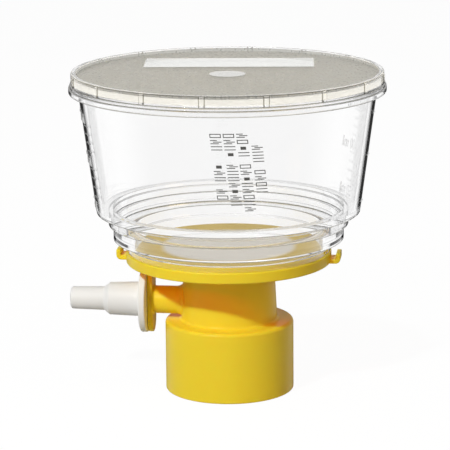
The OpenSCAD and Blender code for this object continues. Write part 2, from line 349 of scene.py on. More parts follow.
def addCamera(spot):
    # the camera's back, right and up directions from its azimuth, elevation and roll
    azimuth, roll = np.radians([spot["azimuth"], spot["roll"]])
    back = bearing(spot)
    right = np.array([np.cos(azimuth), np.sin(azimuth), 0])
    up = np.cross(back, right)
    aim = right * spot["aim"][0] + np.array([0, 0, spot["aim"][1]])
    data = bpy.data.cameras.new("camera")
    data.lens = spot["lens"]
    data.clip_start = spot["nearest"] * mm
    stance = np.eye(4)
    stance[:3, 0] = np.cos(roll) * right - np.sin(roll) * up
    stance[:3, 1] = np.sin(roll) * right + np.cos(roll) * up
    stance[:3, 2] = back
    stance[:3, 3] = (aim + back * spot["distance"]) * mm
    made = placed("camera", data)
    made.matrix_world = Matrix(stance.tolist())
    bpy.context.scene.camera = made


addCamera(cameraSpot)
bpy.context.scene.view_settings.view_transform = "Standard"
print("camera set")


studio = {
    # the lamps: azimuth and elevation in degrees, distance and size in metres, power in watts
    "lamps": {
        "key": {"azimuth": -26, "elevation": 36, "distance": 1.1, "size": 0.07, "power": 9.5},
        "fill": {"azimuth": 62, "elevation": 28, "distance": 1.2, "size": 0.8, "power": 2.6,
                 "colour": (1, 0.74, 0.36)},
        "top": {"azimuth": 0, "elevation": 86, "distance": 1.1, "size": 0.7, "power": 2},
    },
    "aimZ": 45,                   # height that they point at
    "ambient": 0.035,             # what matt surfaces get from all round
    "panel": 1.0,                 # four white panels round the object, as clear and shiny surfaces show them
    "flag": 0.03,                 # black flags between them, which draw the edges of a clear wall
    "flagFrom": (14, 32),         # degrees from a panel's middle over which a flag comes in
    "flagShare": 0.8,             # and how much of it is seen straight through
    "flagFromMirrored": (3, 6),   # the same for paths that were mirrored on their way, which see all of it
    "flagTo": (25, 28),           # and over which it ends for them
    "flagTop": (-0.12, 0.0),      # sines of the elevations over which their flag weakens
    "flagAbove": 0.2,             # to this share
    "panelTop": (0.26, 0.4),      # sines of the elevations over which the panels darken
    "above": 0.3,                 # to this band over them
    "zenithFrom": (0.6, 0.8),     # and over which the ceiling starts
    "zenith": 1.0,                # what it adds to the band
    "frontFrom": (72, 120),       # degrees from straight behind over which the viewer's side starts
    "front": 0.6,                 # and the share of it that mirrored paths see
    "floor": 0.56,                # grey of the floor under matt surfaces
    "floorSide": 1.8,             # metres
    "floorDrop": 0.05,            # below the object's foot
    "floorShade": 0.08,           # share of the floor's picture that is lit, and so holds the shadow
    "floorWhite": 1.05,           # strength of the rest
}


def addLamp(name, spot, aimZ):
    towards = Vector(bearing(spot))
    data = bpy.data.lights.new(name, "AREA")
    data.shape = "DISK"
    data.size = spot["size"]
    data.energy = spot["power"]
    data.color = spot.get("colour", white[:3])
    made = placed(name, data)
    made.location = Vector((0, 0, aimZ * mm)) + towards * spot["distance"]
    made.rotation_euler = towards.to_track_quat("Z", "Y").to_euler()


def raySorts(graph):
    # rays straight from the camera, rays that a clear surface bent, and rays that a surface mirrored;
    # a bent ray counts as glossy too, so it is taken off there
    camera, bent, glossy = [graph.ray(sort) for sort in ("Camera", "Transmission", "Glossy")]
    return camera, bent, glossy * (1 - bent)


def addWorld(room, azimuth):
    # white behind the object; bent and mirrored rays see white panels a quarter turn apart, the first
    # straight behind it, with a flag to each side. An angle is folded to its distance from a panel's
    # middle. Once is 1 on paths that a surface has mirrored.
    world = bpy.data.worlds.new("studio")
    bpy.context.scene.world = world
    graph = Graph(world)
    x, y, z = graph.split(graph.node("ShaderNodeTexCoord", out=0))
    c, s = np.cos(np.radians(azimuth)), np.sin(np.radians(azimuth))
    aside = x.math("ARCTAN2", x * c + y * s, y * c - x * s).size()
    folded = aside.fold(turn / 8)
    camera, bent, mirrored = raySorts(graph)
    once = graph.node("ShaderNodeLightPath", out="Glossy Depth") > 0.5
    straightFlag = folded.ramp(*np.radians(room["flagFrom"]), 0, room["flagShare"])
    mirroredFlag = folded.ramp(*np.radians(room["flagFromMirrored"])) * (aside < turn / 8)
    mirroredFlag = mirroredFlag * folded.ramp(*np.radians(room["flagTo"]), 1.0, 0.0)
    mirroredFlag = mirroredFlag * z.ramp(*room["flagTop"], 1.0, room["flagAbove"])
    flagged = straightFlag + once * (mirroredFlag - straightFlag)
    behind = 1 - once * aside.ramp(*np.radians(room["frontFrom"]), 0.0, 1 - room["front"])
    panel = z.ramp(*room["panelTop"], room["panel"], room["above"])
    panel = panel + z.ramp(*room["zenithFrom"], 0, room["zenith"])
    panels = (panel - flagged * (panel - room["flag"])) * behind
    strength = camera + (bent + mirrored) * panels + (1 - camera - bent - mirrored) * room["ambient"]
    back = graph.node("ShaderNodeBackground", sockets={"Color": white, "Strength": strength})
    graph.node("ShaderNodeOutputWorld", sockets={"Surface": back})


def addFloor(room):
    # bent and mirrored rays pass it and see the panels go on below
    mesh = bpy.data.meshes.new("floor")
    side = room["floorSide"] / 2
    mesh.from_pydata([(-side, -side, 0), (side, -side, 0), (side, side, 0), (-side, side, 0)], [],
                     [(0, 1, 2, 3)])
    made = placed("floor", mesh)
    made.location.z = -room["floorDrop"] * mm
    material = bpy.data.materials.new("paleFloor")
    graph = Graph(material)
    camera, bent, mirrored = raySorts(graph)
    matt = graph.node("ShaderNodeBsdfDiffuse", sockets={"Color": (room["floor"],) * 3 + (1,)})
    glow = graph.node("ShaderNodeEmission", sockets={"Color": white, "Strength": room["floorWhite"]})
    seen = graph.blend(camera * (1 - room["floorShade"]), matt, glow)
    graph.finish(graph.seeThrough(seen, bent + mirrored, white))
    mesh.materials.append(material)


for lampName, lamp in studio["lamps"].items():
    addLamp(lampName, lamp, studio["aimZ"])
addWorld(studio, cameraSpot["azimuth"])
addFloor(studio)
print("studio set")


moulded = {
    "driftScale": 60, "driftDetail": 3,   # the slow change of colour
    "grainDetail": 2, "roughen": 0.12,    # the fine grain, and how far it changes the roughness
    "bump": 0.35,
}
coats = {
    "yellowPlastic": {
        "colour": linear(246, 217, 54), "roughness": 0.36, "through": (0.62, 0.15, 0.0, 1),
        "extra": {"Specular IOR Level": 0.12, "Subsurface Weight": 0.3,
                  "Subsurface Radius": (1.0, 0.5, 0.1), "Subsurface Scale": 0.002}},
    "whitePlastic": {
        "colour": linear(240, 239, 236), "roughness": 0.5, "vary": 0.01,
        "extra": {"Specular IOR Level": 0.2}},
    "gasketRubber": {"colour": linear(226, 226, 222), "roughness": 0.6},
    "darkInk": {"colour": linear(88, 88, 86), "roughness": 0.6, "vary": 0.1},
    "cottonWool": {"colour": linear(246, 244, 238), "roughness": 0.9, "grain": 1500, "bumpBy": 0.0003},
}
polystyrene = {
    "ior": 1.59, "roughness": 0.012,
    "shade": 0.95,                                       # share of a lamp's light that each face passes
    "milk": linear(238, 236, 228), "milkThrough": 0.95,  # what scatters, and the share that goes through
}
# the thin dark lines at corners are painted shade, standing for where light is bent away:
# how far from the corner they are full, and how far they go
cornerShadeLine = {"core": 0.156, "width": 0.26, "tint": (0.14, 0.13, 0.1, 1)}


def coat(name, look, colour, roughness, vary=0.03, grain=900, bumpBy=0.00001, extra=None, through=None):
    # moulded plastic or rubber: its colour drifts slightly, and a fine grain roughens it. Through is the
    # colour of the little lamp light that each face lets through.
    material = bpy.data.materials.new(name)
    graph = Graph(material)
    spot = graph.place()[3]
    drift = graph.noise(spot, look["driftScale"], look["driftDetail"])
    fine = graph.noise(spot, grain, look["grainDetail"])
    darker = tuple(np.array(colour[:3]) * (1 - 2 * vary)) + (1,)
    sockets = {"Base Color": graph.mixed(drift, darker, colour),
               "Roughness": roughness + (fine - 0.5) * look["roughen"],
               "Normal": graph.bump(fine, look["bump"], bumpBy)}
    sockets.update(extra or {})
    surface = graph.node("ShaderNodeBsdfPrincipled", sockets=sockets)
    if through:
        surface = graph.seeThrough(surface, graph.ray("Shadow"), through)
    graph.finish(surface)
    return material


def clear(graph, look, tint, roughness=None, normal=None, milky=None):
    # clear plastic: light on its way to a lamp or from a matt surface passes straight through. Where it is
    # milky, some of what falls on it is scattered, most of that to the other side.
    sockets = {"Base Color": tint, "Roughness": roughness or look["roughness"], "IOR": look["ior"],
               "Transmission Weight": 1.0}
    if normal:
        sockets["Normal"] = normal
    plastic = graph.node("ShaderNodeBsdfPrincipled", sockets=sockets)
    if milky:
        milk = [graph.node(kind, sockets={"Color": look["milk"]})
                for kind in ("ShaderNodeBsdfDiffuse", "ShaderNodeBsdfTranslucent")]
        plastic = graph.blend(milky, plastic, graph.blend(look["milkThrough"], *milk))
    straight = graph.ray("Shadow").most(graph.ray("Diffuse"))
    graph.finish(graph.seeThrough(plastic, straight, (look["shade"],) * 3 + (1,)))


def paintedCornerShade(graph, corners, line):
    # painted shade: thin dark lines along turned corners (radius, height), where light is bent away, on
    # faces met from the air only
    x, y, z = graph.place()[:3]
    fromAxis = hypotenuse(x, y)
    outside = 1 - graph.node("ShaderNodeNewGeometry", out="Backfacing")
    lines = 0 * outside
    for radius, height in corners:
        away = hypotenuse(fromAxis - radius * mm, z - height * mm)
        lines = lines.most(away.ramp(line["core"] * mm, line["width"] * mm, 1.0, 0.0))
    return lines * outside


coated = {name: coat(name, moulded, **look) for name, look in coats.items()}
print("materials made")


bowl = {
    "rimZ": 86.1, "rimD": 81.4, "footZ": 50.3, "footD": 71.8, "wall": 1.75,
    "lipW": 0.55, "lipH": 1.5,
    "steps": ((65.4, 46.8), (62.9, 42.7), (55.8, 39.1)),  # diameter and lower level
    "stepWall": 1.2, "floorT": 1.6, "ledgeT": (1.9, 3.5),
    "mouthD": 51.6, "seatD": 53.8, "seatZ": 40.55,
    "edge": 0.06, "footEdge": 0.1, "lipEdge": 0.25, "seatEdge": 0.5,  # corner radii outside
    "inside": 0.05, "ledgeInside": 0.25, "mouthEdge": 0.1,            # and inside
    "gap": 0.04,  # to the lid above and the flange below
    "around": 320,
}


def wallTaper(b):
    return (b["rimD"] - b["footD"]) / 2 / (b["rimZ"] - b["footZ"])


def wallRadius(b, z):
    return b["footD"] / 2 + wallTaper(b) * (z - b["footZ"])


def ledges(b):
    # levels of the two ledges inside the foot
    return [step[1] + thick for step, thick in zip(b["steps"], b["ledgeT"])]


def bowlOutline(b):
    # from the flange up the outside, over the rim and down the inside to the ledge on the membrane
    (r1, z1), (r2, z2), (r3, z3) = [(width / 2, low) for width, low in b["steps"]]
    rim, low, seat = b["rimZ"] - b["gap"], z3 + b["gap"], b["seatZ"] + b["gap"]
    lipZ, lip = rim - b["lipH"], b["lipEdge"]
    lipOut = wallRadius(b, rim) + b["lipW"]
    floor = b["footZ"] + b["floorT"]
    ledge1, ledge2 = ledges(b)
    t, edge, inside, hollow = b["stepWall"], b["edge"], b["inside"], b["ledgeInside"]
    return rounded([
        (b["seatD"] / 2, low, b["mouthEdge"]), (r3, low, b["seatEdge"]), (r3, z2, edge), (r2, z2, edge),
        (r2, z1, edge), (r1, z1, edge), (r1, b["footZ"], edge), (b["footD"] / 2, b["footZ"], b["footEdge"]),
        (wallRadius(b, lipZ), lipZ, lip), (lipOut, lipZ, lip), (lipOut, rim, lip),
        (wallRadius(b, rim) - b["wall"], rim, lip), (wallRadius(b, floor) - b["wall"], floor, inside),
        (r1 - t, floor, inside), (r1 - t, ledge1, hollow), (r2 - t, ledge1, inside),
        (r2 - t, ledge2, hollow), (b["mouthD"] / 2, ledge2, inside),
        (b["mouthD"] / 2, seat, b["mouthEdge"]), (b["seatD"] / 2, seat, inside)])


def bowlCorners(b):
    # the corners of the steps outside, then those of the ledges inside
    (r1, z1), (r2, z2), (r3, z3) = [(width / 2, low) for width, low in b["steps"]]
    ledge1, ledge2 = ledges(b)
    return [(b["footD"] / 2, b["footZ"]), (r1, z1), (r2, z2), (r3, z3), (r1 - b["stepWall"], ledge1),
            (r2 - b["stepWall"], ledge2), (b["mouthD"] / 2, ledge2)]


def shadeLinedPlastic(look, corners, line):
    # clear plastic with thin lines of painted shade along its corners
    material = bpy.data.materials.new("clearPlastic")
    graph = Graph(material)
    clear(graph, look, graph.mixed(paintedCornerShade(graph, corners, line), white, line["tint"]))
    return material


bowlPlastic = shadeLinedPlastic(polystyrene, bowlCorners(bowl), cornerShadeLine)
bowlShell = shell(turned(bowlOutline(bowl), allRound(bowl["around"])))
piece("bowl_shell", [bowlShell], bowlPlastic, "clear_plastic", "bowl")
print("bowl turned")


marks = {
    "first": 50, "last": 150, "step": 10, "firstZ": 53.2,  # millilitres, and the first one's height
    "angles": (202.5, 22.5),     # middles of the two columns of short marks, in degrees about the axis
    "length": 3.2, "thick": 0.35, "relief": 0.22,
    "labels": (50, 100, 150), "labelAngles": (185, 17),
    "labelH": 3.0, "fontSize": 4.2,
    "lineAngle": 0, "lineL": 3.0,    # the longer marks before the second scale's labels
    "off": 0.02,                     # gap between the wall and what stands on it
    "printAngle": 281.6, "printZ": 79.0, "printLean": -0.12,
    "printPitch": 1.65, "printMarkL": 2.9, "printT": 0.01,
    # columns from left to right: distance across, and from the top down a digit a mark, 0 for a space
    "printColumns": ((-8.2, "32100421023"), (-4.8, "321402112421"), (-1.4, "2341032412312"),
                     (2.2, "0021103231")),
    # strokes of each mark as shares of its place: (left, right, bottom, top)
    "printMarks": (((0, 1, 0.1, 0.24), (0, 1, 0.62, 0.76)),
                   ((0, 0.75, 0.1, 0.24), (0.25, 1, 0.36, 0.5), (0, 0.6, 0.62, 0.76)),
                   ((0, 1, 0.1, 0.24), (0, 1, 0.62, 0.76), (0, 0.08, 0.1, 0.76), (0.92, 1, 0.1, 0.76)),
                   ((0.25, 0.75, 0.15, 0.65),)),
}


def scaleZ(b, m, ml):
    # height at which the tapered wall holds a volume: the frustum's volume is pi / (3 taper) times the
    # difference of the cubes of its radii
    low = wallRadius(b, m["firstZ"]) - b["wall"]
    cubicMm = (ml - m["first"]) * 1000
    radius = (low ** 3 + 3 * wallTaper(b) * cubicMm / np.pi) ** (1 / 3)
    return m["firstZ"] + (radius - low) / wallTaper(b)


def onWall(b, m, flat, angle, z):
    # lays flat points (along, up, out) on the wall: along it turns about the axis, out it grows the radius
    along, up, out = flat.T
    height = z + up
    radius = wallRadius(b, height) + m["off"] + out
    turnedBy = np.radians(angle) + along / radius
    return np.stack([radius * np.cos(turnedBy), radius * np.sin(turnedBy), height], -1)


def slabs(table):
    # flat boxes from rows of (left, right, bottom, top, thickness, lean); lean shifts a box as it rises
    table = np.array(table, float)
    side = np.array([[0, 0, 0], [1, 0, 0], [1, 1, 0], [0, 1, 0], [0, 0, 1], [1, 0, 1], [1, 1, 1], [0, 1, 1]])
    left, right, bottom, top, thick, lean = (table[:, i, None] for i in range(6))
    up = bottom + (top - bottom) * side[:, 1]
    points = np.stack([left + (right - left) * side[:, 0] + lean * up, up, thick * side[:, 2]], -1)
    box = np.array([[0, 3, 2, 1], [4, 5, 6, 7], [0, 1, 5, 4], [1, 2, 6, 5], [2, 3, 7, 6], [3, 0, 4, 7]])
    faces = box[None] + len(side) * np.arange(len(table))[:, None, None]
    return points.reshape(-1, 3), faces.reshape(-1, 4).tolist()


def figures(m, words):
    # raised figures as flat points (along, up, out) and faces
    curve = bpy.data.curves.new("figures", "FONT")
    curve.body = words
    curve.size = m["fontSize"]
    curve.extrude = m["relief"] / 2
    curve.resolution_u = 3
    holder = placed("figures", curve)
    mesh = evaluated(holder)
    points = np.empty(len(mesh.vertices) * 3)
    mesh.vertices.foreach_get("co", points)
    faces = [list(face.vertices) for face in mesh.polygons]
    bpy.data.objects.remove(holder)
    bpy.data.meshes.remove(mesh)
    return points.reshape(-1, 3) + [0, -m["labelH"] / 2, m["relief"] / 2], faces


def stroke(m, length):
    return slabs([(-length / 2, length / 2, 0, m["thick"], m["relief"], 0)])


def scaleMarks(b, m):
    # short marks in both columns, but figures and a longer mark at the labelled volumes
    rows = []
    for ml in range(m["first"], m["last"] + 1, m["step"]):
        if ml in m["labels"]:
            rows.append((ml, m["lineAngle"], stroke(m, m["lineL"])))
            rows += [(ml, angle, figures(m, f"{ml} ml")) for angle in m["labelAngles"]]
        else:
            rows += [(ml, angle, stroke(m, m["length"])) for angle in m["angles"]]
    points, faces, start = [], [], 0
    for ml, angle, (flat, sides) in rows:
        points.append(onWall(b, m, flat, angle, scaleZ(b, m, ml)))
        faces += [[start + corner for corner in face] for face in sides]
        start += len(flat)
    return np.concatenate(points), faces


def smallPrint(b, m):
    # lying marks in columns of plain strokes, which spell nothing
    rows = []
    width, pitch = m["printMarkL"], m["printPitch"]
    for across, column in m["printColumns"]:
        for place, kind in enumerate(column):
            if kind == "0":
                continue
            low = -(place + 1) * pitch
            for left, right, bottom, top in m["printMarks"][int(kind) - 1]:
                rows.append((across + left * width, across + right * width, low + bottom * pitch,
                             low + top * pitch, m["printT"], m["printLean"]))
    flat, sides = slabs(rows)
    return onWall(b, m, flat, m["printAngle"], m["printZ"]), sides


flatPiece("bowl_scale", *scaleMarks(bowl, marks), bowlPlastic, "clear_plastic")
flatPiece("bowl_marks", *smallPrint(bowl, marks), coated["darkInk"], "clear_plastic")
print("scale made")


lid = {
    "underZ": 86.1, "plateZ": 87.6, "topZ": 88.7, "ridgeD": 84.4, "ridgeW": 1.4, "ridgeRound": 0.5,
    "skirtInD": 82.8, "skirtZ": 83.2, "bandD": 85.1, "bandH": 0.8, "beadW": 0.35, "beadH": 1.5,
    "edge": 0.3, "underEdge": 0.25,  # the small corner radii
    "ribs": 16, "ribW": 1.2, "ribHeight": 0.3, "ribFlank": 0.25, "ribsTurned": -2.3,
    "ribPoints": 25, "gapPoints": 20,  # across a rib and between two
    "flankShadeLine": (0.1, 0.175),         # how far from a rib's flank its painted shade line is full, and how far it goes
    "turned": 5, "panel": (47, 15.5), "panelOff": 19.5, "dimpleD": 10, "polishEdge": 0.15,
    "frost": 0.42, "milky": 0.6,       # what the frost adds to the roughness, and the share that scatters
    "grain": 2500, "grainFrom": (0.3, 0.7), "grainRelief": 0.05, "frostT": 0.2,
    "specks": 1400, "specksFrom": (0.56, 0.7), "sparkle": 0.5,  # specks that have less of the frost
    # painted shade: the frost, dimple and panel greys darken the clear plate; the grain between the two frost
    # greys is the frost's own speckle
    "frostShade": linear(206, 206, 198), "frostShadeDark": linear(170, 169, 160),
    "dimpleShade": linear(170, 169, 160), "panelShade": linear(220, 221, 214),
}


def bandTop(d):
    return d["skirtZ"] + d["beadH"] + d["bandH"]


def lidOutline(d):
    # from the axis out under the plate, down inside the skirt, up its outside, over the ridge and back
    skirt, ridge, band, edge = d["skirtInD"] / 2, d["ridgeD"] / 2, d["bandD"] / 2, d["edge"]
    beadTop, bead, ridgeIn = d["skirtZ"] + d["beadH"], band + d["beadW"], ridge - d["ridgeW"]
    return rounded([
        (0, d["underZ"], 0), (skirt, d["underZ"], d["underEdge"]), (skirt, d["skirtZ"], edge),
        (bead, d["skirtZ"], edge), (bead, beadTop, edge), (band, beadTop, edge), (band, bandTop(d), edge),
        (ridge, bandTop(d), edge), (ridge, d["topZ"], d["ridgeRound"]), (ridgeIn, d["topZ"], edge),
        (ridgeIn, d["plateZ"], edge), (0, d["plateZ"], 0)], closed=False)


def lidGrid(d):
    # turned outline; between band and ridge the wall stands proud at each rib, by a smooth step up each flank
    outline = lidOutline(d)
    ridge, pitch = d["ridgeD"] / 2, turn / d["ribs"]
    halfRib, flank = d["ribW"] / 2 / ridge, d["ribFlank"] / ridge
    near = np.linspace(-halfRib - flank, halfRib + flank, d["ribPoints"])
    far = np.linspace(halfRib + flank, pitch - halfRib - flank, d["gapPoints"])[1:-1]
    angles = (np.concatenate([near, far])[None] + pitch * np.arange(d["ribs"])[:, None]).ravel()
    grid = turned(outline, angles + np.radians(d["ribsTurned"] - 90))
    away = np.abs((angles + pitch / 2) % pitch - pitch / 2)
    share = np.clip((halfRib + flank / 2 - away) / flank, 0, 1)
    proud = share * share * (3 - 2 * share) * d["ribHeight"] / ridge
    onRidge = np.abs(outline[:, 0] - ridge) < 0.01
    onRidge &= outline[:, 1] > bandTop(d) + 0.05
    grid[..., :2] *= (1 + proud[:, None] * onRidge)[..., None]
    return grid


def lidShadeLines(graph, d, line):
    # the painted shade lines at the corners, and those on the flanks of the upright ribs
    x, y, z = graph.place()[:3]
    ridge, band = d["ridgeD"] / 2, d["bandD"] / 2
    corners = [(ridge, d["topZ"] - 0.1), (ridge, bandTop(d)), (band, d["skirtZ"] + d["beadH"]),
               (band + d["beadW"], d["skirtZ"])]
    around = y.math("ARCTAN2", y, x) - np.radians(d["ribsTurned"] - 90)
    fromRib = around.fold(turn / d["ribs"] / 2) * (ridge * mm)
    core, width = d["flankShadeLine"]
    flank = (fromRib - (d["ribW"] / 2 + d["ribFlank"] / 2) * mm).size().ramp(core * mm, width * mm, 1.0, 0.0)
    upright = (z > bandTop(d) * mm) * (z < (d["topZ"] - d["edge"]) * mm)
    upright = upright * (hypotenuse(x, y) > (ridge - 0.1) * mm)
    return paintedCornerShade(graph, corners, line).most(flank * upright)


def frostedPlastic(d, look, line):
    # frosted on the plate's upper face; the dimple and the oblong panel are left polished. The greys that
    # tint all three are painted shade.
    material = bpy.data.materials.new("frostedPlastic")
    graph = Graph(material)
    x, y, z, spot = graph.place()
    c, s = np.cos(np.radians(d["turned"])), np.sin(np.radians(d["turned"]))
    fromAxis, edge = hypotenuse(x, y), d["polishEdge"] * mm
    along = (x * c + y * s).size() - d["panel"][0] / 2 * mm
    across = (y * c - x * s - d["panelOff"] * mm).size() - d["panel"][1] / 2 * mm
    top = (z > (d["plateZ"] - 0.25) * mm) * (fromAxis < (d["ridgeD"] / 2 - d["ridgeW"]) * mm)
    dimple = top * (fromAxis - d["dimpleD"] / 2 * mm).ramp(-edge, edge, 1.0, 0.0)
    panel = top * along.most(across).ramp(-edge, edge, 1.0, 0.0)
    frosted = top * (1 - dimple.most(panel))
    grain = graph.noise(spot, d["grain"], 2)
    specks = graph.noise(spot, d["specks"], 0).ramp(*d["specksFrom"]) * frosted
    frost = graph.mixed(grain.ramp(*d["grainFrom"]), d["frostShadeDark"], d["frostShade"])
    tint = graph.mixed(panel, graph.mixed(frosted, white, frost), d["panelShade"])
    tint = graph.mixed(dimple, tint, d["dimpleShade"])
    clear(graph, look, graph.mixed(lidShadeLines(graph, d, line), tint, line["tint"]),
          roughness=look["roughness"] + (frosted - specks * d["sparkle"]) * d["frost"],
          normal=graph.bump(frosted + grain * frosted * d["grainRelief"], 1.0, d["frostT"] * mm),
          milky=frosted * d["milky"])
    return material


lidPlastic = frostedPlastic(lid, polystyrene, cornerShadeLine)
piece("lid_cover", [shell(lidGrid(lid), closed=False)], lidPlastic, "frosted_plastic", "lid")
print("lid turned")


base = {
    "collarD": 35.3, "collarH": 19.6, "boreD": 32.6, "boreH": 15.9, "collarRound": 1.0,
    "seatD": 30.6, "roofZ": 17.4,
    "neckTopD": 24.8, "neckFootD": 26.4, "neckWall": 1.6, "flangeZ": 36.1,
    "flangeD": 56.2, "flangeTop": 39.1, "supportD": 53.6, "supportZ": 40.3,
    "fieldD": 48.0, "fieldDepth": 1.5, "ringRibs": 6, "ringRibW": 0.9, "spokes": 8, "spokeW": 1.2,
    "spokeFrom": 1, "spokeLow": 0.02,  # how far beside the drain and under the support's face they start
    "spoutD": 8.4, "spoutWall": 1.4, "spoutZ": 16.3,
    # corner radii, from large to small
    "neckBend": 0.9, "flangeBend": 0.8, "hollowBend": 0.6, "boreMouth": 0.5, "flangeEdge": 0.4,
    "footEdge": 0.35, "edge": 0.3, "supportEdge": 0.2, "ribEdge": 0.15, "sharpEdge": 0.1,
    "armZ": 24.4, "armD": 7.7, "armBoreD": 4.0, "armReach": 22.3,
    "armFlare": 0.9, "armFlareL": 1.3, "armFlareRound": 2.0,  # where it leaves the neck
    "plateFlare": 0.5,                                        # and where it meets its plate
    "plateT": 1.4, "plateH": 18.2, "plateW": 7.8, "nippleD": 6.2, "nippleL": 5.0,
    "hookW": 6.0, "hookT": 1.2, "hookReach": 2.7, "hookH": 2.9, "hookLift": 0.02,
    "hookBend": 0.72, "hookEdge": 0.25, "hookTip": 0.35,
    "hookRoot": 1.5, "spokeRoot": 0.3, "plateRoot": 0.1,      # how far they reach into what carries them
    "cutOver": 1,                                             # how far the bore's cutter goes past its ends
    "around": 220, "armAround": 96, "boreAround": 48, "smoothTo": 34,
    "shift": 0.005, "boreShift": 0.01,  # small turns, so that no edge of one solid lies on another's
}


def baseOutline(b):
    # up the outside of collar, neck and flange, in over the ribbed field, down the spout and the hollow neck
    collar, foot, top = b["collarD"] / 2, b["neckFootD"] / 2, b["neckTopD"] / 2
    flange, support, field = b["flangeD"] / 2, b["supportD"] / 2, b["fieldD"] / 2
    drain, spout = b["spoutD"] / 2 - b["spoutWall"], b["spoutD"] / 2
    seat, bore = b["seatD"] / 2, b["boreD"] / 2
    deep, ribZ = b["supportZ"] - b["fieldDepth"], b["supportZ"] - b["fieldDepth"] / 3
    edge, sharp, ribEdge = b["edge"], b["sharpEdge"], b["ribEdge"]
    rows = [
        (collar, 0, b["footEdge"]), (collar, b["collarH"], b["collarRound"]),
        (foot, b["collarH"], b["neckBend"]), (top, b["flangeZ"], b["flangeBend"]),
        (flange, b["flangeZ"], b["flangeEdge"]), (flange, b["flangeTop"], b["flangeEdge"]),
        (support, b["flangeTop"], sharp), (support, b["supportZ"], b["supportEdge"]),
        (field, b["supportZ"], b["supportEdge"]), (field, deep, sharp)]
    pitch = (field - drain) / (b["ringRibs"] + 1)
    for place in range(b["ringRibs"], 0, -1):
        middle, half = drain + place * pitch, b["ringRibW"] / 2
        rows += [(middle + half, deep, sharp), (middle + half, ribZ, ribEdge),
                 (middle - half, ribZ, ribEdge), (middle - half, deep, sharp)]
    return rounded(rows + [
        (drain, deep, edge), (drain, b["spoutZ"], edge), (spout, b["spoutZ"], edge),
        (spout, b["flangeZ"], b["hollowBend"]), (top - b["neckWall"], b["flangeZ"], b["hollowBend"]),
        (foot - b["neckWall"], b["roofZ"], edge), (seat, b["roofZ"], sharp), (seat, b["boreH"], sharp),
        (bore, b["boreH"], b["supportEdge"]), (bore, 0, b["boreMouth"])])


def armGrid(b):
    # the arm's tube flares into the neck and into its plate, and ends in the nipple
    r, nipple, flare = b["armD"] / 2, b["nippleD"] / 2, b["plateFlare"]
    start = b["neckTopD"] / 2 - b["neckWall"] / 2
    wall = np.sqrt((b["neckFootD"] / 2) ** 2 - r ** 2)
    plate, tip = b["armReach"] - b["plateT"], b["armReach"] + b["nippleL"]
    root = plate + b["plateRoot"]
    outline = rounded([
        (0, start, 0), (r + b["armFlare"], start, 0), (r + b["armFlare"], wall, 0),
        (r, wall + b["armFlareL"], b["armFlareRound"]), (r, plate - flare, b["flangeEdge"]),
        (r + flare, root, 0), (nipple, root, 0), (nipple, tip, b["edge"]), (0, tip, 0)], closed=False)
    return onArm(turned(outline, allRound(b["armAround"])), b["armZ"])


def plateGrid(b):
    # oblong plate: a turned disc pulled apart into a stadium, closed in its middle on both faces
    half = (b["plateH"] - b["plateW"]) / 2
    angles = allRound(b["armAround"]) + turn / b["armAround"] / 2
    back, side = b["armReach"] - b["plateT"], b["plateW"] / 2
    profile = rounded([(0, back, 0), (side, back, b["edge"]), (side, b["armReach"], b["edge"]),
                       (0, b["armReach"], 0)], closed=False)
    grid = turned(profile, angles)
    grid[..., 0] += np.where(np.cos(angles) > 0, half, -half)[:, None] * (profile[:, 0] > 0)
    return onArm(grid, b["armZ"])


def hookGrid(b, side):
    # flat section carried out from the flange's rim and up round a bend, its tip rounded over
    t, tip, edge = b["hookT"], b["hookTip"], b["hookEdge"]
    out, low = b["flangeD"] / 2 + b["hookReach"] - t / 2, b["flangeZ"] + t / 2 + b["hookLift"]
    line = rounded([(b["flangeD"] / 2 - b["hookRoot"], low, 0), (out, low, b["hookBend"]),
                    (out, b["flangeZ"] + b["hookH"], 0)], closed=False)
    step = np.gradient(line, axis=0)
    step /= np.linalg.norm(step, axis=1)[:, None]
    bend = np.linspace(0, np.pi / 2, 5)
    tail = line[-1] + step[-1] * tip * (np.sin(bend)[:, None] - 1)
    line = np.concatenate([line[:1], line[:-1], tail, tail[-1:]])
    step = np.concatenate([step[:1], step[:-1], np.repeat(step[-1:], 6, 0)])
    scales = np.concatenate([[0], np.ones(len(line) - 7), 1 - edge * (1 - np.cos(bend)), [0]])
    half = b["hookW"] / 2
    section = rounded([(-half, -t / 2, edge), (half, -t / 2, edge), (half, t / 2, edge),
                       (-half, t / 2, edge)], 3)
    zero = np.zeros(len(line))
    centres = np.stack([side * line[:, 0], zero, line[:, 1]], -1)
    upwards = np.stack([-side * step[:, 1], zero, step[:, 0]], -1)
    return carried(section, centres, np.stack([zero, zero + 1, zero], -1), upwards, scales)


def spokeGrid(b, angle):
    # a straight rib from beside the drain to the field's edge, rooted in the floor
    high, low = b["supportZ"] - b["spokeLow"], b["supportZ"] - b["fieldDepth"] - b["spokeRoot"]
    start, end = b["spoutD"] / 2 - b["spoutWall"] + b["spokeFrom"], b["fieldD"] / 2 + b["spokeRoot"]
    half, tall, edge = b["spokeW"] / 2, (high - low) / 2, b["ribEdge"]
    section = rounded([(-half, -tall, 0), (half, -tall, 0), (half, tall, edge), (-half, tall, edge)], 3)
    c, s = np.cos(angle), np.sin(angle)
    centres = np.array([[c * r, s * r, (high + low) / 2] for r in (start, start, end, end)])
    return carried(section, centres, np.array([[-s, c, 0]] * 4), np.array([[0, 0, 1]] * 4),
                   np.array([0, 1, 1, 0]))


def rodGrid(b):
    # what is cut out for the arm's bore, from inside the neck to beyond the nipple
    start, end = b["spoutD"] / 2 + b["cutOver"], b["armReach"] + b["nippleL"] + b["cutOver"]
    bore = b["armBoreD"] / 2
    outline = rounded([(0, start, 0), (bore, start, 0), (bore, end, 0), (0, end, 0)], closed=False)
    return onArm(turned(outline, allRound(b["boreAround"]) + b["boreShift"]), b["armZ"])


